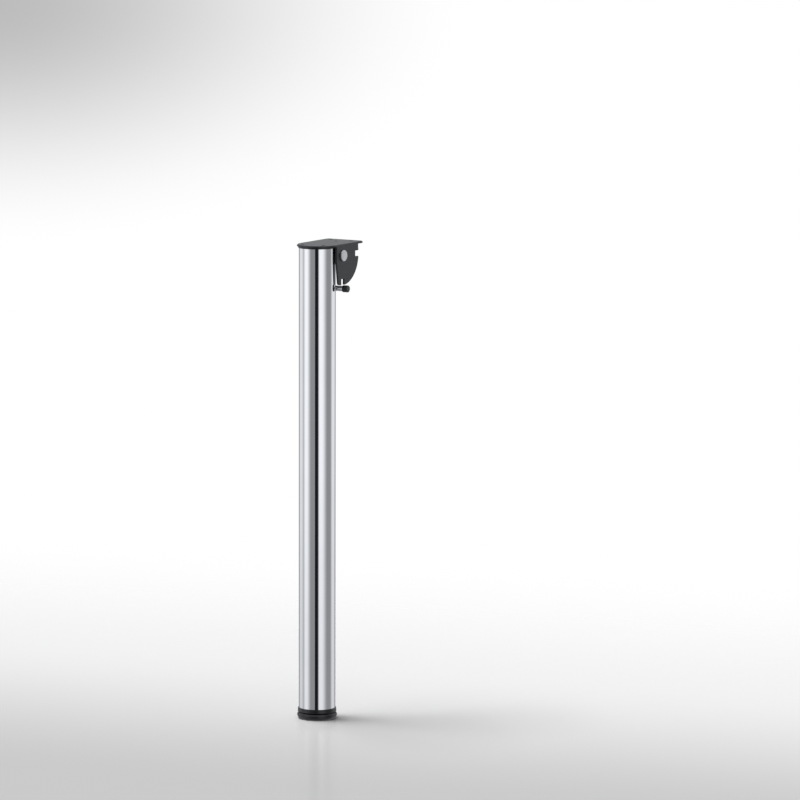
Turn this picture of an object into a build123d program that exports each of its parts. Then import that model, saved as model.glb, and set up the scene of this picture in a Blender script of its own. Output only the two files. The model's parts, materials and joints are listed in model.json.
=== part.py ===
"""Folding table leg: chrome tube on a hinge head that swings in a folded steel bracket.

Millimetres. The origin is on the leg's axis at the plate's top face, which screws to the
table. +Z is up, +X is the side that the leg folds towards, and the hinge lies along Y.
"""

import math
import os

from build123d import *

# Leg and tube
LEG_HEIGHT = 710  # table's underside to the floor, with the foot screwed right in
TUBE_DIAMETER = 55
TUBE_WALL = 1.5

# Mounting bracket, one stamped and folded sheet
SHEET = 3
PLATE_REAR_MARGIN = 1  # plate past the tube at the round end
PLATE_FRONT = 80
PLATE_CORNER = 6
CHEEK_CLEARANCE = 1.5  # between the tube and a cheek
BEND_OUTER = 2
BEND_INNER = 0.6
RIM_RADIUS = 44  # round rim of a cheek, about the pivot
CHEEK_FRONT_RISE = 9  # how far the rim runs up past the front notch
TOE_WIDTH = 12  # cheek left behind the lower notch, from the pivot's line
TOE_CORNER = 4
SHOULDER_DEPTH = 24  # straight rear edge of a cheek, down from the plate's top
SHOULDER_CORNER = 12
NOTCH_SPARE = 1  # notch past the locked bar, which the head's slot stops
NOTCH_CORNER = 0.6
NOTCH_MOUTH = 1

# Screws into the table
SCREW_HOLE_RADIUS = 2.75
SCREW_SINK_RADIUS = 5
SINK_ANGLE = 90
SCREW_REAR = 12  # rear pair, behind the leg's axis
SCREW_FRONT = 66  # front pair, ahead of the leg's axis
SCREW_SPREAD = 36

# Hinge
BARREL_RADIUS = 13.7
BARREL_GAP = 0.3  # barrel to the plate as the leg swings
PIVOT_INSET = 7.5  # pivot behind the tube's front wall, which sets the folded height
PIN_RADIUS = 5
PIN_FIT = 0.05
PIN_HEAD_RADIUS = 8.5
PIN_HEAD = 3
PIN_HEAD_EDGE = 1.2
PIN_CHAMFER = 0.8
PIN_TAIL = 2.2  # pin past the clip
CLIP_THICKNESS = 1.2
CLIP_GROOVE = 1
CLIP_RADIUS = 8.5
CLIP_MOUTH = 6.4
CLIP_PLAY = 0.1
CLIP_EYE_RADIUS = 1.2
CLIP_EYE_SPREAD = 10.6  # between the two eyes
CLIP_EYE_RISE = 3.8  # eyes above the pin's axis
BUSH_WALL = 1.5
BUSH_LENGTH = 14
BUSH_FLANGE = 1.4
BUSH_FLANGE_RADIUS = 9.5
SIDE_PLAY = 0.1  # bush flange to cheek
PRESS_GAP = 0.02  # pressed or glued pieces of one body

# Hinge head, one casting
FLANGE_THICKNESS = 2
FLANGE_MARGIN = 0.8  # flange past the tube
PLUG_GAP = 0.05
PLUG_DEPTH = 83
BARREL_NOTCH_GAP = 0.6  # tube's notch round the barrel
CORE_WALL = 2  # plug's wall behind the core
CORE_FRONT = 8  # core's front, ahead of the leg's axis
CORE_ROOF = 8

# Lock bar
BAR_RADIUS = 4
BAR_SEAT = 4  # bar's axis inside the rim when it is locked
BAR_RIM_GAP = 1  # bar to the rim when it is pulled out
BAR_FIT = 0.3
BAR_SLOT_GAP = 0.5  # tube's slot round the bar's slot
BAR_CHAMFER = 0.8
KNOB_RADIUS = 5.2
KNOB_LENGTH = 8.4
KNOB_CHEEK_GAP = 1.2
KNOB_BASE = 2
KNOB_RINGS = 2
KNOB_RING_RADIUS = 0.5
KNOB_EDGE = 1.2

# Lock springs, their retainer and the screws
SPRING_RADIUS = 2.6
SPRING_WIRE = 0.8
SPRING_TURNS = 6
SPRING_END_GAP = 0.1
POCKET_GAP = 0.4
POCKET_WALL = 1  # plug's wall outside a spring's pocket
RETAINER_THICKNESS = 2
RETAINER_GAP = 0.4
RETAINER_SCREW_X = 4
RETAINER_SCREW_INSET = 7  # screws inside the plug's radius
RETAINER_SCREW_RADIUS = 2
RETAINER_SCREW_LENGTH = 12
RETAINER_SCREW_HEAD_RADIUS = 3.6
RETAINER_SCREW_HEAD = 2.2
RETAINER_SCREW_EDGE = 0.8
HEAD_SCREW_RADIUS = 2
HEAD_SCREW_LENGTH = 13
HEAD_SCREW_SINK_RADIUS = 4
HEAD_SCREW_TOP = 35  # upper screw, below the plug's top
HEAD_SCREW_END = 9  # lower screw, above the plug's end
HEAD_SCREW_SPARE = 1  # hole past the screw's tip
SCREW_GAP = 0.05
DRIVE_RADIUS = 1.5
DRIVE_DEPTH = 1.2

# Rubber buffer that the folded leg rests against
BUFFER_X = 52
BUFFER_RADIUS = 6
BUFFER_GAP = 0.3
BUFFER_STEM_RADIUS = 2.5
BUFFER_EDGE = 1

# Foot
FOOT_TRAVEL = 20  # how far the foot screws out
PLUG_RING = 6  # height of the upper ring
PLUG_RING_MARGIN = 0.8  # upper ring past the tube
PLUG_RING_FLARE = 0.7
PLUG_RING_EDGE = 0.8
FOOT_GROOVE = 1.5
FOOT_DISC_HEIGHT = 9  # lower ring
FOOT_DISC_MARGIN = 2.3  # lower ring past the tube
FOOT_DISC_LIP = 2.5  # upper edge down to the widest line
FOOT_SOLE_MARGIN = 2.6  # sole inside the tube's radius
FOOT_HUB_RADIUS = 16
FOOT_HUB_GAP = 0.3
SOLE_DISH_RADIUS = 9
SOLE_DISH = 0.8
SPINDLE_RADIUS = 5
SPINDLE_SPARE = 3  # thread past the nut with the foot screwed right out
SPINDLE_FOOT = 4  # spindle's end, moulded into the lower ring
SPINDLE_CHAMFER = 1
NUT_FLATS = 17
NUT_THICKNESS = 8
PLUG_BODY = 30
PLUG_BODY_WALL = 2.5
PLUG_FLOOR = 4
BOSS_RADIUS = 13
RIB_COUNT = 6
RIB_THICKNESS = 2
RIB_ROOT = 1  # rib sunk into the boss and into the plug's wall
SPINDLE_GAP = 0.4  # spindle to the plug's hole

# Places that follow from the sizes
TUBE_RADIUS = TUBE_DIAMETER / 2
TUBE_BORE = TUBE_RADIUS - TUBE_WALL
CHEEK_INNER = TUBE_RADIUS + CHEEK_CLEARANCE
CHEEK_OUTER = CHEEK_INNER + SHEET
PIVOT_X = TUBE_RADIUS - PIVOT_INSET
PIVOT_Z = -(SHEET + BARREL_GAP + BARREL_RADIUS)
FLANGE_RADIUS = TUBE_RADIUS + FLANGE_MARGIN
TUBE_TOP = -(SHEET + FLANGE_THICKNESS)
PLUG_RADIUS = TUBE_BORE - PLUG_GAP
PLUG_BOTTOM = TUBE_TOP - PLUG_DEPTH
CORE_RADIUS = (PLUG_RADIUS - CORE_WALL + CORE_FRONT) / 2
CORE_X = CORE_FRONT - CORE_RADIUS
HEAD_SCREW_HEIGHTS = (TUBE_TOP - HEAD_SCREW_TOP, PLUG_BOTTOM + HEAD_SCREW_END)
RETAINER_SCREW_SPREAD = 2 * (PLUG_RADIUS - RETAINER_SCREW_INSET)
POCKET_RADIUS = SPRING_RADIUS + SPRING_WIRE / 2 + POCKET_GAP
SPRING_Y = math.sqrt((PLUG_RADIUS - POCKET_WALL - POCKET_RADIUS) ** 2 - PIVOT_X**2)
BUSH_FACE = CHEEK_INNER - SIDE_PLAY
BARREL_HALF = BUSH_FACE - BUSH_FLANGE
BAR_LOCKED = RIM_RADIUS - BAR_SEAT
BAR_OUT = RIM_RADIUS + BAR_RADIUS + BAR_RIM_GAP
LOCK_TRAVEL = BAR_OUT - BAR_LOCKED
SLOT_RADIUS = BAR_RADIUS + BAR_FIT
SLOT_TOP = PIVOT_Z - BAR_LOCKED
SLOT_BOTTOM = PIVOT_Z - BAR_OUT
KNOB_FACE = CHEEK_OUTER + KNOB_CHEEK_GAP
BAR_HALF = KNOB_FACE + KNOB_LENGTH - KNOB_BASE
NOTCH_FLOOR = BAR_LOCKED - SLOT_RADIUS - NOTCH_SPARE
SPINDLE_BOTTOM = -LEG_HEIGHT + SPINDLE_FOOT
DISC_TOP = -LEG_HEIGHT + FOOT_DISC_HEIGHT
PLUG_RING_BOTTOM = DISC_TOP + FOOT_GROOVE
TUBE_BOTTOM = PLUG_RING_BOTTOM + PLUG_RING
DISC_RADIUS = TUBE_RADIUS + FOOT_DISC_MARGIN

# Planes whose first direction runs along a turned piece and whose second is its radius
pivot_plane = Plane(origin=(PIVOT_X, 0, PIVOT_Z), x_dir=(0, 1, 0), z_dir=(1, 0, 0))
pivot_axis = Axis((PIVOT_X, 0, PIVOT_Z), (0, 1, 0))
bar_plane = Plane(origin=(PIVOT_X, 0, SLOT_BOTTOM), x_dir=(0, 1, 0), z_dir=(1, 0, 0))
bar_axis = Axis((PIVOT_X, 0, SLOT_BOTTOM), (0, 1, 0))

os.makedirs("parts", exist_ok=True)


def save(piece, name):
    """Label a finished piece and write it as its own file."""
    piece.part.label = name
    export_step(piece.part, f"parts/{name}.step")


# Mounting bracket: plate, two cheeks with a round rim, two lock notches each
round_x = CHEEK_OUTER - TUBE_RADIUS - PLATE_REAR_MARGIN  # centre of the round end
toe_x = PIVOT_X - TOE_WIDTH
toe_z = PIVOT_Z - math.sqrt(RIM_RADIUS**2 - TOE_WIDTH**2)
brow_z = PIVOT_Z + CHEEK_FRONT_RISE
brow_x = PIVOT_X + math.sqrt(RIM_RADIUS**2 - CHEEK_FRONT_RISE**2)
rim_middle = math.radians(-45)
rim_x = PIVOT_X + RIM_RADIUS * math.cos(rim_middle)
rim_z = PIVOT_Z + RIM_RADIUS * math.sin(rim_middle)
mouth_depth = math.sqrt(RIM_RADIUS**2 - SLOT_RADIUS**2)
mouth_corners = [
    (PIVOT_X - SLOT_RADIUS, -CHEEK_INNER, PIVOT_Z - mouth_depth),
    (PIVOT_X + SLOT_RADIUS, -CHEEK_INNER, PIVOT_Z - mouth_depth),
    (PIVOT_X + mouth_depth, -CHEEK_INNER, PIVOT_Z - SLOT_RADIUS),
    (PIVOT_X + mouth_depth, -CHEEK_INNER, PIVOT_Z + SLOT_RADIUS),
]

with BuildPart() as mounting_bracket:
    with BuildSketch(Plane.XY.offset(-SHEET)) as plate:
        with BuildLine():
            Polyline(
                (round_x, -CHEEK_OUTER),
                (PLATE_FRONT, -CHEEK_OUTER),
                (PLATE_FRONT, CHEEK_OUTER),
                (round_x, CHEEK_OUTER),
            )
            ThreePointArc((round_x, CHEEK_OUTER), (round_x - CHEEK_OUTER, 0), (round_x, -CHEEK_OUTER))
        make_face()
        fillet(plate.vertices().group_by(Axis.X)[-1], PLATE_CORNER)
    extrude(amount=SHEET)
    with BuildSketch(Plane.XZ.offset(CHEEK_INNER)) as cheek:
        with BuildLine():
            Polyline((brow_x, brow_z), (brow_x, 0), (round_x, 0), (round_x, -SHOULDER_DEPTH), (toe_x, toe_z))
            ThreePointArc((toe_x, toe_z), (rim_x, rim_z), (brow_x, brow_z))
        make_face()
        fillet(cheek.vertices().sort_by_distance((round_x, -SHOULDER_DEPTH, 0))[0], SHOULDER_CORNER)
        with Locations((PIVOT_X, PIVOT_Z)):
            Circle(PIN_RADIUS + PIN_FIT, mode=Mode.SUBTRACT)
        for angle in (-90, 0):
            with Locations(Location((PIVOT_X, PIVOT_Z), angle)):
                with Locations((NOTCH_FLOOR + RIM_RADIUS / 2, 0)):
                    RectangleRounded(RIM_RADIUS, 2 * SLOT_RADIUS, NOTCH_CORNER, mode=Mode.SUBTRACT)
    extrude(amount=SHEET)
    across = mounting_bracket.edges().filter_by(Axis.Y)
    toe = across.sort_by_distance((toe_x, -CHEEK_INNER, toe_z))[0]
    mouths = [across.sort_by_distance(corner)[0] for corner in mouth_corners]
    fillet(toe, TOE_CORNER)
    fillet(mouths, NOTCH_MOUTH)
    mirror(about=Plane.XZ)
    long_edges = mounting_bracket.edges().filter_by(Axis.X)
    fillet(long_edges.group_by(Axis.Z)[-1], BEND_OUTER)
    under_plate = mounting_bracket.edges().filter_by(Axis.X).filter_by_position(Axis.Z, -SHEET, -SHEET)
    bends = under_plate.filter_by_position(Axis.Y, -CHEEK_INNER, CHEEK_INNER)
    fillet(bends, BEND_INNER)
    screw_middle = (SCREW_FRONT - SCREW_REAR) / 2
    with Locations(Plane(origin=(screw_middle, 0, -SHEET), x_dir=(1, 0, 0), z_dir=(0, 0, -1))):
        with GridLocations(SCREW_FRONT + SCREW_REAR, SCREW_SPREAD, 2, 2):
            CounterSinkHole(SCREW_HOLE_RADIUS, SCREW_SINK_RADIUS, SHEET, SINK_ANGLE)
    with Locations((BUFFER_X, 0, 0)):
        Hole(BUFFER_STEM_RADIUS + PRESS_GAP, depth=SHEET)
save(mounting_bracket, "mounting_bracket")

# Pivot pin, headed at one end and grooved for its clip at the other
groove_start = CHEEK_OUTER + CLIP_PLAY
groove_end = groove_start + CLIP_THICKNESS + CLIP_PLAY
pin_end = groove_end + PIN_TAIL
with BuildPart() as pivot_pin:
    with BuildSketch(pivot_plane):
        with BuildLine():
            Polyline(
                (-CHEEK_OUTER - PIN_HEAD, 0),
                (-CHEEK_OUTER - PIN_HEAD, PIN_HEAD_RADIUS),
                (-CHEEK_OUTER, PIN_HEAD_RADIUS),
                (-CHEEK_OUTER, PIN_RADIUS),
                (groove_start, PIN_RADIUS),
                (groove_start, PIN_RADIUS - CLIP_GROOVE),
                (groove_end, PIN_RADIUS - CLIP_GROOVE),
                (groove_end, PIN_RADIUS),
                (pin_end, PIN_RADIUS),
                (pin_end, 0),
                close=True,
            )
        make_face()
    revolve(axis=pivot_axis)
    fillet(pivot_pin.faces().sort_by(Axis.Y)[0].edges(), PIN_HEAD_EDGE)
    chamfer(pivot_pin.faces().sort_by(Axis.Y)[-1].edges(), PIN_CHAMFER)
save(pivot_pin, "pivot_pin")

# Retaining clip, a ring open on the lower side
with BuildPart() as pivot_clip:
    with BuildSketch(Plane.XZ.offset(-groove_start - CLIP_PLAY / 2)):
        with Locations((PIVOT_X, PIVOT_Z)):
            Circle(CLIP_RADIUS)
            Circle(PIN_RADIUS - CLIP_GROOVE + PIN_FIT, mode=Mode.SUBTRACT)
        with Locations((PIVOT_X, PIVOT_Z - CLIP_RADIUS / 2)):
            Rectangle(CLIP_MOUTH, CLIP_RADIUS, mode=Mode.SUBTRACT)
        with Locations((PIVOT_X, PIVOT_Z + CLIP_EYE_RISE)):
            with GridLocations(CLIP_EYE_SPREAD, 0, 2, 1):
                Circle(CLIP_EYE_RADIUS, mode=Mode.SUBTRACT)
    extrude(amount=-CLIP_THICKNESS)
save(pivot_clip, "pivot_clip")

# Rubber buffer, pushed into the plate by its stem
folded_top = PIVOT_Z + PIVOT_INSET
buffer_bottom = folded_top + BUFFER_GAP
with BuildPart() as fold_buffer:
    with BuildSketch(Plane.XY.offset(buffer_bottom)):
        with Locations((BUFFER_X, 0)):
            Circle(BUFFER_RADIUS)
    extrude(amount=-SHEET - buffer_bottom)
    fillet(fold_buffer.faces().sort_by(Axis.Z)[0].edges(), BUFFER_EDGE)
    with BuildSketch(Plane.XY.offset(-SHEET)):
        with Locations((BUFFER_X, 0)):
            Circle(BUFFER_STEM_RADIUS)
    extrude(amount=SHEET - BUFFER_GAP)
save(fold_buffer, "fold_buffer")

# Holes for the screws that hold the tube to the head, on the side the leg folds towards
head_screw_hole = HEAD_SCREW_RADIUS + SCREW_GAP
head_screw_sink = HEAD_SCREW_SINK_RADIUS + 2 * SCREW_GAP
head_screw_planes = [
    Plane(origin=(TUBE_RADIUS, 0, height), x_dir=(0, 1, 0), z_dir=(1, 0, 0))
    for height in HEAD_SCREW_HEIGHTS
]

# Leg tube, notched round the hinge barrel and slotted for the lock bar
with BuildPart() as leg_tube:
    with BuildSketch(Plane.XY.offset(TUBE_BOTTOM)):
        Circle(TUBE_RADIUS)
        Circle(TUBE_BORE, mode=Mode.SUBTRACT)
    extrude(amount=TUBE_TOP - TUBE_BOTTOM)
    notch_radius = BARREL_RADIUS + BARREL_NOTCH_GAP
    with BuildSketch(Plane.XZ):
        with Locations((PIVOT_X, PIVOT_Z)):
            Circle(notch_radius)
            Rectangle(2 * notch_radius, -PIVOT_Z, align=(Align.CENTER, Align.MIN))
    extrude(amount=TUBE_RADIUS, both=True, mode=Mode.SUBTRACT)
    with BuildSketch(Plane.XZ):
        with Locations(Location((PIVOT_X, (SLOT_TOP + SLOT_BOTTOM) / 2), 90)):
            SlotCenterToCenter(LOCK_TRAVEL, 2 * (SLOT_RADIUS + BAR_SLOT_GAP))
    extrude(amount=TUBE_RADIUS, both=True, mode=Mode.SUBTRACT)
    for screw_plane in head_screw_planes:
        with Locations(screw_plane):
            CounterSinkHole(head_screw_hole, head_screw_sink, TUBE_RADIUS, SINK_ANGLE)
save(leg_tube, "leg_tube")

# Hinge head: flange, plug and barrel, cored out, with the lock bar's slot and spring pockets
with BuildPart() as hinge_head:
    with BuildSketch(Plane.XY.offset(TUBE_TOP)):
        Circle(FLANGE_RADIUS)
    extrude(amount=FLANGE_THICKNESS)
    with BuildSketch(Plane.XY.offset(PLUG_BOTTOM)):
        Circle(PLUG_RADIUS)
    extrude(amount=PLUG_DEPTH)
    with BuildSketch(Plane.XY.offset(PLUG_BOTTOM)):
        with Locations((CORE_X, 0)):
            Circle(CORE_RADIUS)
    extrude(amount=PLUG_DEPTH + FLANGE_THICKNESS - CORE_ROOF, mode=Mode.SUBTRACT)
    with BuildSketch(Plane.XZ):
        with Locations((PIVOT_X, PIVOT_Z)):
            Rectangle(TUBE_DIAMETER, -PIVOT_Z, align=(Align.MIN, Align.MIN))
            Circle(BARREL_RADIUS, mode=Mode.SUBTRACT)
    extrude(amount=TUBE_DIAMETER, both=True, mode=Mode.SUBTRACT)
    with BuildSketch(Plane.XZ):
        with Locations((PIVOT_X, PIVOT_Z)):
            Circle(BARREL_RADIUS)
    extrude(amount=BARREL_HALF, both=True)
    with BuildSketch(Plane.XZ):
        with Locations((PIVOT_X, PIVOT_Z)):
            Circle(PIN_RADIUS + BUSH_WALL + PRESS_GAP)
    extrude(amount=BARREL_HALF, both=True, mode=Mode.SUBTRACT)
    with BuildSketch(Plane.XZ):
        with Locations(Location((PIVOT_X, (SLOT_TOP + SLOT_BOTTOM) / 2), 90)):
            SlotCenterToCenter(LOCK_TRAVEL, 2 * SLOT_RADIUS)
    extrude(amount=TUBE_RADIUS, both=True, mode=Mode.SUBTRACT)
    with BuildSketch(Plane.XY.offset(PLUG_BOTTOM)):
        with Locations((PIVOT_X, 0)):
            with GridLocations(0, 2 * SPRING_Y, 1, 2):
                Circle(POCKET_RADIUS)
    extrude(amount=SLOT_BOTTOM - PLUG_BOTTOM, mode=Mode.SUBTRACT)
    for screw_plane in head_screw_planes:
        with Locations(screw_plane):
            hole_depth = HEAD_SCREW_LENGTH + HEAD_SCREW_SPARE
            CounterSinkHole(head_screw_hole, head_screw_sink, hole_depth, SINK_ANGLE)
    with Locations(Plane(origin=(RETAINER_SCREW_X, 0, PLUG_BOTTOM), x_dir=(1, 0, 0), z_dir=(0, 0, -1))):
        with GridLocations(0, RETAINER_SCREW_SPREAD, 1, 2):
            Hole(RETAINER_SCREW_RADIUS + SCREW_GAP, depth=RETAINER_SCREW_LENGTH)
save(hinge_head, "hinge_head")

# Flanged bushes, one pressed into each end of the barrel
for name, side in (("hinge_bush_left", 1), ("hinge_bush_right", -1)):
    with BuildPart() as bush:
        with BuildSketch(pivot_plane):
            with BuildLine():
                Polyline(
                    (side * (BARREL_HALF - BUSH_LENGTH), PIN_RADIUS + PIN_FIT),
                    (side * BUSH_FACE, PIN_RADIUS + PIN_FIT),
                    (side * BUSH_FACE, BUSH_FLANGE_RADIUS),
                    (side * BARREL_HALF, BUSH_FLANGE_RADIUS),
                    (side * BARREL_HALF, PIN_RADIUS + BUSH_WALL),
                    (side * (BARREL_HALF - BUSH_LENGTH), PIN_RADIUS + BUSH_WALL),
                    close=True,
                )
            make_face()
        revolve(axis=pivot_axis)
    save(bush, name)

# Two countersunk screws that hold the tube to the head
sink_depth = HEAD_SCREW_SINK_RADIUS - HEAD_SCREW_RADIUS
screw_recess = TUBE_RADIUS - math.sqrt(TUBE_RADIUS**2 - HEAD_SCREW_SINK_RADIUS**2)
screw_top = TUBE_RADIUS - screw_recess
with BuildPart() as head_screws:
    for height in HEAD_SCREW_HEIGHTS:
        with BuildSketch(Plane.XZ):
            with BuildLine():
                Polyline(
                    (screw_top, height),
                    (screw_top, height + HEAD_SCREW_SINK_RADIUS - screw_recess),
                    (TUBE_RADIUS - sink_depth, height + HEAD_SCREW_RADIUS),
                    (TUBE_RADIUS - HEAD_SCREW_LENGTH, height + HEAD_SCREW_RADIUS),
                    (TUBE_RADIUS - HEAD_SCREW_LENGTH, height),
                    close=True,
                )
            make_face()
        revolve(axis=Axis((0, 0, height), (1, 0, 0)))
        with BuildSketch(Plane(origin=(screw_top, 0, height), x_dir=(0, 1, 0), z_dir=(1, 0, 0))):
            RegularPolygon(DRIVE_RADIUS, 6)
        extrude(amount=-DRIVE_DEPTH, mode=Mode.SUBTRACT)
save(head_screws, "head_screws")

# Lock springs, under the bar
spring_top = SLOT_BOTTOM - BAR_RADIUS - SPRING_END_GAP - SPRING_WIRE / 2
spring_bottom = PLUG_BOTTOM + SPRING_END_GAP + SPRING_WIRE / 2
for name, side in (("lock_spring_left", 1), ("lock_spring_right", -1)):
    with BuildPart() as lock_spring:
        with BuildLine() as coil:
            Helix(
                pitch=(spring_top - spring_bottom) / SPRING_TURNS,
                height=spring_top - spring_bottom,
                radius=SPRING_RADIUS,
                center=(PIVOT_X, side * SPRING_Y, spring_bottom),
            )
        with BuildSketch(Plane(coil.line @ 0, z_dir=coil.line % 0)):
            Circle(SPRING_WIRE / 2)
        sweep(is_frenet=True)
    save(lock_spring, name)

# Plate under the head that holds the springs in, and its two screws
with BuildPart() as spring_retainer:
    with BuildSketch(Plane.XY.offset(PLUG_BOTTOM)):
        Circle(TUBE_BORE - RETAINER_GAP)
        with Locations((CORE_X, 0)):
            Circle(CORE_RADIUS - RETAINER_THICKNESS, mode=Mode.SUBTRACT)
        with Locations((RETAINER_SCREW_X, 0)):
            with GridLocations(0, RETAINER_SCREW_SPREAD, 1, 2):
                Circle(RETAINER_SCREW_RADIUS + SCREW_GAP, mode=Mode.SUBTRACT)
    extrude(amount=-RETAINER_THICKNESS)
save(spring_retainer, "spring_retainer")

with BuildPart() as retainer_screws:
    with BuildSketch(Plane.XY.offset(PLUG_BOTTOM - RETAINER_THICKNESS)):
        with Locations((RETAINER_SCREW_X, 0)):
            with GridLocations(0, RETAINER_SCREW_SPREAD, 1, 2):
                Circle(RETAINER_SCREW_RADIUS)
    extrude(amount=RETAINER_SCREW_LENGTH)
    with BuildSketch(Plane.XY.offset(PLUG_BOTTOM - RETAINER_THICKNESS)):
        with Locations((RETAINER_SCREW_X, 0)):
            with GridLocations(0, RETAINER_SCREW_SPREAD, 1, 2):
                Circle(RETAINER_SCREW_HEAD_RADIUS)
    extrude(amount=-RETAINER_SCREW_HEAD)
    fillet(retainer_screws.faces().group_by(Axis.Z)[0].edges(), RETAINER_SCREW_EDGE)
    with BuildSketch(Plane.XY.offset(PLUG_BOTTOM - RETAINER_THICKNESS - RETAINER_SCREW_HEAD)):
        with Locations((RETAINER_SCREW_X, 0)):
            with GridLocations(0, RETAINER_SCREW_SPREAD, 1, 2):
                RegularPolygon(DRIVE_RADIUS, 6)
    extrude(amount=DRIVE_DEPTH, mode=Mode.SUBTRACT)
save(retainer_screws, "retainer_screws")

# Lock bar, drawn pulled out, clear of the cheeks' rims
with BuildPart() as lock_bar:
    with BuildSketch(Plane.XZ):
        with Locations((PIVOT_X, SLOT_BOTTOM)):
            Circle(BAR_RADIUS)
    extrude(amount=BAR_HALF, both=True)
    chamfer(lock_bar.edges().filter_by(GeomType.CIRCLE), BAR_CHAMFER)
save(lock_bar, "lock_bar")

# Finger knobs on the bar's ends
for name, side in (("lock_knob_left", 1), ("lock_knob_right", -1)):
    ring_pitch = (KNOB_LENGTH - 2 * KNOB_EDGE) / (KNOB_RINGS + 1)
    with BuildPart() as lock_knob:
        with BuildSketch(bar_plane):
            with Locations((side * (KNOB_FACE + KNOB_LENGTH / 2), KNOB_RADIUS / 2)):
                Rectangle(KNOB_LENGTH, KNOB_RADIUS)
            for ring in range(KNOB_RINGS):
                ring_at = KNOB_FACE + KNOB_EDGE + (ring + 1) * ring_pitch
                with Locations((side * ring_at, KNOB_RADIUS)):
                    Circle(KNOB_RING_RADIUS, mode=Mode.SUBTRACT)
            with Locations((side * (KNOB_FACE + BAR_HALF) / 2, 0)):
                Rectangle(
                    BAR_HALF - KNOB_FACE + 2 * PRESS_GAP,
                    2 * (BAR_RADIUS + PRESS_GAP),
                    mode=Mode.SUBTRACT,
                )
        revolve(axis=bar_axis)
        end_face = lock_knob.faces().sort_by(Axis.Y)[-1 if side > 0 else 0]
        fillet(end_face.edges(), KNOB_EDGE)
    save(lock_knob, name)

# Foot plug: upper ring, ribbed body in the tube, boss with the nut's pocket
pocket_radius = NUT_FLATS / 2 / math.cos(math.pi / 6) + PRESS_GAP
ring_top_radius = TUBE_RADIUS + PLUG_RING_MARGIN
ring_base_radius = ring_top_radius + PLUG_RING_FLARE
plug_floor_top = TUBE_BOTTOM + PLUG_FLOOR
plug_body_top = TUBE_BOTTOM + PLUG_BODY
boss_top = plug_floor_top + NUT_THICKNESS + PLUG_FLOOR
nut_bottom = boss_top - NUT_THICKNESS
with BuildPart() as foot_plug:
    with BuildSketch(Plane.XZ):
        with BuildLine():
            Polyline(
                (SPINDLE_RADIUS + SPINDLE_GAP, PLUG_RING_BOTTOM),
                (ring_base_radius, PLUG_RING_BOTTOM),
                (ring_top_radius, TUBE_BOTTOM),
                (PLUG_RADIUS, TUBE_BOTTOM),
                (PLUG_RADIUS, plug_body_top),
                (PLUG_RADIUS - PLUG_BODY_WALL, plug_body_top),
                (PLUG_RADIUS - PLUG_BODY_WALL, plug_floor_top),
                (BOSS_RADIUS, plug_floor_top),
                (BOSS_RADIUS, boss_top),
                (SPINDLE_RADIUS + SPINDLE_GAP, boss_top),
                close=True,
            )
        make_face()
    revolve(axis=Axis.Z)
    rib_inner = BOSS_RADIUS - RIB_ROOT
    rib_outer = PLUG_RADIUS - PLUG_BODY_WALL + RIB_ROOT
    with BuildSketch(Plane.XY.offset(plug_floor_top)):
        with PolarLocations((rib_inner + rib_outer) / 2, RIB_COUNT):
            Rectangle(rib_outer - rib_inner, RIB_THICKNESS)
    extrude(amount=boss_top - plug_floor_top)
    with BuildSketch(Plane.XY.offset(nut_bottom)):
        RegularPolygon(pocket_radius, 6)
    extrude(amount=NUT_THICKNESS, mode=Mode.SUBTRACT)
    lower_rim = foot_plug.edges().filter_by(GeomType.CIRCLE).group_by(Axis.Z)[0].sort_by(SortBy.RADIUS)[-1]
    fillet(lower_rim, PLUG_RING_EDGE)
save(foot_plug, "foot_plug")

with BuildPart() as foot_nut:
    with BuildSketch(Plane.XY.offset(nut_bottom)):
        RegularPolygon(NUT_FLATS / 2 / math.cos(math.pi / 6) - PRESS_GAP, 6)
        Circle(SPINDLE_RADIUS + PIN_FIT, mode=Mode.SUBTRACT)
    extrude(amount=NUT_THICKNESS)
save(foot_nut, "foot_nut")

with BuildPart() as foot_spindle:
    with BuildSketch(Plane.XY.offset(SPINDLE_BOTTOM)):
        Circle(SPINDLE_RADIUS)
    extrude(amount=boss_top + FOOT_TRAVEL + SPINDLE_SPARE - SPINDLE_BOTTOM)
    chamfer(foot_spindle.faces().sort_by(Axis.Z)[-1].edges(), SPINDLE_CHAMFER)
save(foot_spindle, "foot_spindle")

# Foot disc: lower ring that carries the load, rounded under to a flat sole
hub_top = PLUG_RING_BOTTOM - FOOT_HUB_GAP
sole_radius = TUBE_RADIUS - FOOT_SOLE_MARGIN
widest = DISC_TOP - FOOT_DISC_LIP
with BuildPart() as foot_disc:
    with BuildSketch(Plane.XZ):
        with BuildLine():
            Polyline(
                (0, -LEG_HEIGHT + SOLE_DISH),
                (SOLE_DISH_RADIUS - SOLE_DISH, -LEG_HEIGHT + SOLE_DISH),
                (SOLE_DISH_RADIUS, -LEG_HEIGHT),
                (sole_radius, -LEG_HEIGHT),
            )
            EllipticalCenterArc(
                center=(sole_radius, widest),
                x_radius=DISC_RADIUS - sole_radius,
                y_radius=widest + LEG_HEIGHT,
                start_angle=270,
                arc_size=90,
            )
            Polyline(
                (DISC_RADIUS, widest),
                (DISC_RADIUS - FOOT_GROOVE, DISC_TOP),
                (FOOT_HUB_RADIUS, DISC_TOP),
                (FOOT_HUB_RADIUS, hub_top),
                (SPINDLE_RADIUS + PRESS_GAP, hub_top),
                (SPINDLE_RADIUS + PRESS_GAP, SPINDLE_BOTTOM),
                (0, SPINDLE_BOTTOM),
                (0, -LEG_HEIGHT + SOLE_DISH),
            )
        make_face()
    revolve(axis=Axis.Z)
save(foot_disc, "foot_disc")
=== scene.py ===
"""Looks of the folding table leg: chrome, black steel, casting and plastic, in a white studio.

Metres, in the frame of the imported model: +Z up, +X the side that the leg folds towards.
"""

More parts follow.
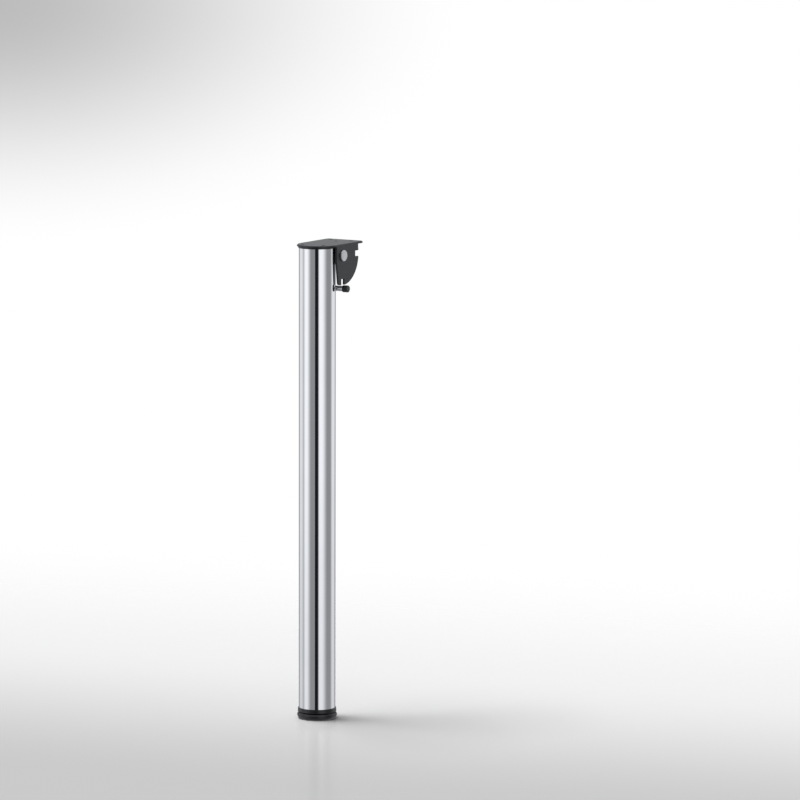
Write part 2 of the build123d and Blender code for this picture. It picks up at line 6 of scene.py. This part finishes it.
import json
import math

import bpy
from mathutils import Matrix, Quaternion, Vector


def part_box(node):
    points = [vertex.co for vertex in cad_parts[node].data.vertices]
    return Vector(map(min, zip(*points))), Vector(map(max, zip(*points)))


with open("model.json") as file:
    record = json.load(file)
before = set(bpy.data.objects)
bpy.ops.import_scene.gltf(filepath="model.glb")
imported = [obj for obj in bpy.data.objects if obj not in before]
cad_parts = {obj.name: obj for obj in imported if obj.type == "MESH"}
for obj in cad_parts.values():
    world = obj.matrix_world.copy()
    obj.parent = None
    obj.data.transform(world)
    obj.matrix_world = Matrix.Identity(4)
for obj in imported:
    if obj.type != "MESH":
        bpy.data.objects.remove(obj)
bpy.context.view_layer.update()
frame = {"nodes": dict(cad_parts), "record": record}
nodes = frame["nodes"]

# Camera, worked out from the photograph's 800 x 800 frame
FRAME_PIXELS = 800
SENSOR_MM = 36
FOCAL_PIXELS = 5452
CAMERA_DISTANCE = 8.0  # level distance to the leg's axis
CAMERA_HEIGHT = 0.85  # above the mounting plate
CAMERA_AZIMUTH = -148  # degrees from +X, of the way from the leg to the camera
CAMERA_PITCH = -7.701
CAMERA_ROLL = 0.15
CAMERA_REACH = 100
LEG_PIXEL_X = 316.5  # column of the leg's axis in the photograph

# Soft boxes that the chrome mirrors. Degrees to the photograph's right of the camera: where
# each begins, is full, starts to fade and ends, then how bright it is above the studio's grey.
STUDIO_GREY = 0.29
STUDIO_TINT = (0.985, 0.995, 1.02)
SOFT_BOXES = {
    "key_right": (6, 14, 28, 67, 0.74),
    "strip_left": (-102, -77, -69, -37, 0.76),
    "rear_right": (88, 110, 128, 150, 0.56),
    "rear_left": (-150, -130, -112, -88, 0.55),
}
SOFT_BOX_FOOT = (-0.205, -0.125, 0.72)  # the boxes grow dimmer towards the floor
BACK_WALL = (148, 168, 0.42)  # degrees either way where it begins and is full, and how bright
BLACK_FLAG = (-15.5, -13, 4.5, 7, 0.96)  # the dark line down the tube, and how dark it is

# How far up or down a ray points, with 1 for straight up or down, where each begins and is
# full, and how bright it is
CEILING = (0.55, 0.9, 0.95)
GROUND = (0.5, 0.9, 0.45)

EVEN_LIGHT = 0.15  # from all round, on what doesn't shine

# Energy and width in degrees of each lamp, and how far to the right and towards the camera
# its shadow falls for each metre of height
LAMPS = (
    (1.05, 18, 0.38, 0.08),
    (0.5, 22, 0.34, -0.08),
    (0.95, 18, 0.22, 0.24),
    (0.3, 30, -0.04, 0.2),
)

# Backdrop, white but for a dim corner at the photograph's upper left. Its middle is given to
# the right of the level way from the camera and above it, a metre off.
DIM_CORNER_RIGHT = -0.062
DIM_CORNER_UP = -0.0611
DIM_CORNER_STRETCH = 2  # how many times wider than high it is
DIM_CORNER_REACH = 0.092
DIM_CORNER_LEVEL = 0.5

# Floor, measured from the leg towards the camera and a little to the left
FLOOR_SIZE = 16
FLOOR_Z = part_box("foot_disc")[0].z
FLOOR_SLANT = 0.37
# Painted shade: the floor's colour darkens towards the camera and a little to the left, standing in for less
# light falling there
FLOOR_PAINTED_SHADE = (-0.45, 0.55, 0.92, 0.60)  # between these two places, from one tone to the other
FLOOR_FADE = (-1.5, -0.1)  # where the floor melts into the white
FLOOR_GLOSS = 0.12
FLOOR_GLOSS_ROUGHNESS = 0.18

THREAD_PITCH = 0.0015


def direction(azimuth):
    """Level unit vector at an azimuth in degrees."""
    return Vector((math.cos(math.radians(azimuth)), math.sin(math.radians(azimuth)), 0))


TO_CAMERA = direction(CAMERA_AZIMUTH)
TO_RIGHT = direction(CAMERA_AZIMUTH + 90)
UP = Vector((0, 0, 1))


def put(tree, value, socket):
    """Join a socket to an input, or set the input to a value."""
    if isinstance(value, bpy.types.NodeSocket):
        tree.links.new(value, socket)
    else:
        socket.default_value = value


def calculate(tree, operation, *values):
    """A Math node, giving its output."""
    node = tree.nodes.new("ShaderNodeMath")
    node.operation = operation
    for value, socket in zip(values, node.inputs):
        put(tree, value, socket)
    return node.outputs[0]


def vector_math(tree, operation, *values, output="Value"):
    """A Vector Math node, giving one of its outputs."""
    node = tree.nodes.new("ShaderNodeVectorMath")
    node.operation = operation
    for value, socket in zip(values, node.inputs):
        put(tree, value, socket)
    return node.outputs[output]


def fade(tree, value, start, end, low=0.0, high=1.0):
    """A smooth step of a value between two places."""
    node = tree.nodes.new("ShaderNodeMapRange")
    node.interpolation_type = "SMOOTHSTEP"
    for name, at in (("From Min", start), ("From Max", end), ("To Min", low), ("To Max", high)):
        node.inputs[name].default_value = at
    put(tree, value, node.inputs["Value"])
    return node.outputs[0]


def band(tree, value, start, full, fading, end):
    """A value's share of a band, from 0 outside to 1 inside."""
    rise = fade(tree, value, start, full)
    fall = fade(tree, value, fading, end, 1, 0)
    return calculate(tree, "MULTIPLY", rise, fall)


def ramp(tree, factor, *stops):
    """A colour ramp of (place, colour) stops, giving its colour."""
    node = tree.nodes.new("ShaderNodeValToRGB")
    elements = node.color_ramp.elements
    while len(elements) < len(stops):
        elements.new(0.5)
    for element, (place, colour) in zip(elements, stops):
        element.position = place
        element.color = (*colour, 1)
    put(tree, factor, node.inputs[0])
    return node.outputs["Color"]


def noise(tree, place, scale, detail=2.0, stretch=(1, 1, 1)):
    """Noise at a place, stretched along the axes, giving its factor."""
    node = tree.nodes.new("ShaderNodeTexNoise")
    node.inputs["Scale"].default_value = scale
    node.inputs["Detail"].default_value = detail
    put(tree, vector_math(tree, "MULTIPLY", place, stretch, output="Vector"), node.inputs["Vector"])
    return node.outputs["Fac"]


def bump(tree, shader, height, strength, distance):
    """Relief on a shader's normal."""
    node = tree.nodes.new("ShaderNodeBump")
    node.inputs["Strength"].default_value = strength
    node.inputs["Distance"].default_value = distance
    put(tree, height, node.inputs["Height"])
    put(tree, node.outputs[0], shader.inputs["Normal"])


def new_material(name):
    """A material's tree, its Principled shader and the object's own coordinates."""
    material = bpy.data.materials.new(name)
    material.use_nodes = True
    tree = material.node_tree
    place = tree.nodes.new("ShaderNodeTexCoord").outputs["Object"]
    return material, tree, tree.nodes["Principled BSDF"], place


def chrome():
    """Polished chrome: a mirror with faint grinding marks round the tube and a slight haze."""
    material, tree, shader, place = new_material("chrome")
    shader.inputs["Metallic"].default_value = 1
    haze = noise(tree, place, 25, detail=4)
    marks = noise(tree, place, 40, detail=3, stretch=(1, 1, 40))
    tone = ramp(tree, haze, (0.3, (0.85, 0.86, 0.885)), (0.7, (0.88, 0.888, 0.91)))
    put(tree, tone, shader.inputs["Base Color"])
    put(tree, calculate(tree, "MULTIPLY_ADD", marks, 0.03, 0.04), shader.inputs["Roughness"])
    bump(tree, shader, marks, 0.02, 0.00005)
    return material


def coated(name, dark, light, roughness, grain, relief):
    """Black coated metal, plastic or rubber: fine grain, with slight changes of tone and gloss."""
    material, tree, shader, place = new_material(name)
    cloud = noise(tree, place, 40, detail=4)
    put(tree, ramp(tree, cloud, (0.3, dark), (0.7, light)), shader.inputs["Base Color"])
    put(tree, calculate(tree, "MULTIPLY_ADD", cloud, 0.14, roughness - 0.07), shader.inputs["Roughness"])
    bump(tree, shader, noise(tree, place, grain), relief, 0.0002)
    return material


def plated(name, dark, light, roughness):
    """Zinc plate: pale metal, faintly mottled, with a soft gloss."""
    material, tree, shader, place = new_material(name)
    shader.inputs["Metallic"].default_value = 1
    mottle = noise(tree, place, 150, detail=5)
    put(tree, ramp(tree, mottle, (0.3, dark), (0.7, light)), shader.inputs["Base Color"])
    put(tree, calculate(tree, "MULTIPLY_ADD", mottle, 0.16, roughness), shader.inputs["Roughness"])
    bump(tree, shader, mottle, 0.12, 0.0001)
    return material


def threaded(pitch):
    """Zinc plate with a screw thread's relief round the Z axis."""
    material = plated("zinc_thread", (0.48, 0.49, 0.51), (0.62, 0.63, 0.64), 0.24)
    tree = material.node_tree
    split = tree.nodes.new("ShaderNodeSeparateXYZ")
    put(tree, tree.nodes["Texture Coordinate"].outputs["Object"], split.inputs[0])
    angle = calculate(tree, "ARCTAN2", split.outputs["Y"], split.outputs["X"])
    around = calculate(tree, "DIVIDE", angle, math.tau)
    along = calculate(tree, "DIVIDE", split.outputs["Z"], pitch)
    flank = calculate(tree, "PINGPONG", calculate(tree, "ADD", along, around), 0.5)
    bump(tree, tree.nodes["Principled BSDF"], flank, 1.0, pitch * 0.8)
    return material


MATERIALS = {
    "chrome": chrome(),
    "black_steel": coated("black_steel", (0.02, 0.022, 0.025), (0.03, 0.033, 0.038), 0.4, 900, 0.3),
    "black_casting": coated("black_casting", (0.014, 0.015, 0.017), (0.022, 0.024, 0.027), 0.36, 600, 0.4),
    "black_plastic": coated("black_plastic", (0.009, 0.01, 0.012), (0.014, 0.015, 0.018), 0.32, 1500, 0.25),
    "rubber": coated("rubber", (0.01, 0.01, 0.01), (0.016, 0.016, 0.016), 0.75, 1200, 0.3),
    "bush_plastic": coated("bush_plastic", (0.42, 0.42, 0.39), (0.5, 0.5, 0.47), 0.5, 1500, 0.2),
    "zinc_steel": plated("zinc_steel", (0.5, 0.51, 0.53), (0.64, 0.65, 0.66), 0.2),
    "spring_steel": plated("spring_steel", (0.3, 0.31, 0.33), (0.42, 0.43, 0.45), 0.24),
}


def dress_nodes():
    """Every CAD node gets the material of its slot, and the spindle its thread."""
    dressed = {entry["node"]: MATERIALS[entry["material_slot"]] for entry in frame["record"]["subparts"]}
    dressed["foot_spindle"] = threaded(THREAD_PITCH)
    for name, piece in nodes.items():
        piece.data.materials.clear()
        piece.data.materials.append(dressed[name])


def build_world():
    """Even light for dull surfaces, soft boxes for what shines, and a white backdrop."""
    world = bpy.data.worlds.new("studio")
    bpy.context.scene.world = world
    world.use_nodes = True
    tree = world.node_tree
    tree.nodes.clear()
    way = tree.nodes.new("ShaderNodeTexCoord").outputs["Generated"]
    rays = tree.nodes.new("ShaderNodeLightPath")

    right = vector_math(tree, "DOT_PRODUCT", way, TO_RIGHT)
    near = vector_math(tree, "DOT_PRODUCT", way, TO_CAMERA)
    height = vector_math(tree, "DOT_PRODUCT", way, UP)
    turn = calculate(tree, "MULTIPLY", calculate(tree, "ARCTAN2", right, near), 180 / math.pi)
    *edges, strength = BACK_WALL
    behind = fade(tree, calculate(tree, "ABSOLUTE", turn), *edges)
    glow = calculate(tree, "MULTIPLY", behind, strength)
    for *edges, strength in SOFT_BOXES.values():
        glow = calculate(tree, "MULTIPLY_ADD", band(tree, turn, *edges), strength, glow)
    low, high, dimmed = SOFT_BOX_FOOT
    level = calculate(tree, "MULTIPLY_ADD", glow, fade(tree, height, low, high, dimmed, 1), STUDIO_GREY)
    *edges, darkness = BLACK_FLAG
    passed = calculate(tree, "MULTIPLY_ADD", band(tree, turn, *edges), -darkness, 1.0)
    level = calculate(tree, "MULTIPLY", level, passed)
    for sign, (start, full, strength) in ((1, CEILING), (-1, GROUND)):
        share = fade(tree, calculate(tree, "MULTIPLY", height, sign), start, full)
        kept = calculate(tree, "MULTIPLY", level, calculate(tree, "SUBTRACT", 1.0, share))
        level = calculate(tree, "MULTIPLY_ADD", share, strength, kept)
    boxes = tree.nodes.new("ShaderNodeBackground")
    boxes.inputs["Color"].default_value = (*STUDIO_TINT, 1)
    put(tree, level, boxes.inputs["Strength"])

    even = tree.nodes.new("ShaderNodeBackground")
    even.inputs["Color"].default_value = (1, 1, 1, 1)
    even.inputs["Strength"].default_value = EVEN_LIGHT

    stretch = Vector((1, 1, DIM_CORNER_STRETCH))
    corner = (-TO_CAMERA + TO_RIGHT * DIM_CORNER_RIGHT + UP * DIM_CORNER_UP) * stretch
    stretched = vector_math(tree, "MULTIPLY", way, stretch, output="Vector")
    away = vector_math(tree, "DISTANCE", stretched, corner)
    backdrop = tree.nodes.new("ShaderNodeBackground")
    backdrop.inputs["Color"].default_value = (1, 1, 1, 1)
    put(tree, fade(tree, away, 0, DIM_CORNER_REACH, DIM_CORNER_LEVEL, 1), backdrop.inputs["Strength"])

    lit = even.outputs[0]
    for ray, shader in (("Is Glossy Ray", boxes), ("Is Camera Ray", backdrop)):
        mix = tree.nodes.new("ShaderNodeMixShader")
        put(tree, rays.outputs[ray], mix.inputs[0])
        put(tree, lit, mix.inputs[1])
        put(tree, shader.outputs[0], mix.inputs[2])
        lit = mix.outputs[0]
    put(tree, lit, tree.nodes.new("ShaderNodeOutputWorld").inputs["Surface"])


def build_floor():
    """Floor painted grey at the front as shade, melting into the white; the chrome doesn't mirror it."""
    half = FLOOR_SIZE / 2
    mesh = bpy.data.meshes.new("floor")
    corners = [(-half, -half, FLOOR_Z), (half, -half, FLOOR_Z), (half, half, FLOOR_Z), (-half, half, FLOOR_Z)]
    mesh.from_pydata(corners, [], [(0, 1, 2, 3)])
    floor = bpy.data.objects.new("floor", mesh)
    bpy.context.scene.collection.objects.link(floor)
    floor.visible_glossy = False
    material, tree, shader, place = new_material("floor")
    near = vector_math(tree, "DOT_PRODUCT", place, TO_CAMERA - TO_RIGHT * FLOOR_SLANT)
    # Painted shade: the floor's colour grows darker towards the camera and the left
    put(tree, fade(tree, near, *FLOOR_PAINTED_SHADE), shader.inputs["Base Color"])
    shader.inputs["Roughness"].default_value = 1
    shader.inputs["Specular IOR Level"].default_value = 0
    gloss = tree.nodes.new("ShaderNodeBsdfAnisotropic")
    gloss.inputs["Roughness"].default_value = FLOOR_GLOSS_ROUGHNESS
    clear = tree.nodes.new("ShaderNodeBsdfTransparent")
    shown = shader
    for share, other in ((FLOOR_GLOSS, gloss), (fade(tree, near, *FLOOR_FADE, 1, 0), clear)):
        mix = tree.nodes.new("ShaderNodeMixShader")
        put(tree, share, mix.inputs[0])
        put(tree, shown.outputs[0], mix.inputs[1])
        put(tree, other.outputs[0], mix.inputs[2])
        shown = mix
    put(tree, shown.outputs[0], tree.nodes["Material Output"].inputs["Surface"])
    mesh.materials.append(material)


def build_lamps():
    """Wide lamps high on the photograph's left and behind, for the soft shadow at the foot."""
    for energy, angle, right, near in LAMPS:
        lamp = bpy.data.lights.new("soft_lamp", "SUN")
        lamp.energy = energy
        lamp.angle = math.radians(angle)
        lamp_object = bpy.data.objects.new("soft_lamp", lamp)
        bpy.context.scene.collection.objects.link(lamp_object)
        aim = TO_RIGHT * right + TO_CAMERA * near - UP
        lamp_object.rotation_euler = aim.to_track_quat("-Z", "Y").to_euler()
        lamp_object.visible_glossy = False


def build_camera():
    """The photograph's view: the leg stands left of the middle, seen from a little above."""
    camera = bpy.data.cameras.new("camera")
    camera.sensor_width = SENSOR_MM
    camera.lens = SENSOR_MM * FOCAL_PIXELS / FRAME_PIXELS
    camera.clip_end = CAMERA_REACH
    camera_object = bpy.data.objects.new("camera", camera)
    bpy.context.scene.collection.objects.link(camera_object)
    camera_object.location = TO_CAMERA * CAMERA_DISTANCE + UP * CAMERA_HEIGHT
    yaw = math.degrees(math.atan((FRAME_PIXELS / 2 - LEG_PIXEL_X) / FOCAL_PIXELS))
    pitch = math.radians(CAMERA_PITCH)
    look = direction(CAMERA_AZIMUTH + 180 - yaw) * math.cos(pitch) + UP * math.sin(pitch)
    roll = Quaternion((0, 0, 1), math.radians(CAMERA_ROLL))
    camera_object.rotation_euler = (look.to_track_quat("-Z", "Y") @ roll).to_euler()
    bpy.context.scene.camera = camera_object


dress_nodes()
build_world()
build_floor()
build_lamps()
build_camera()
bpy.context.scene.view_settings.view_transform = "Standard"
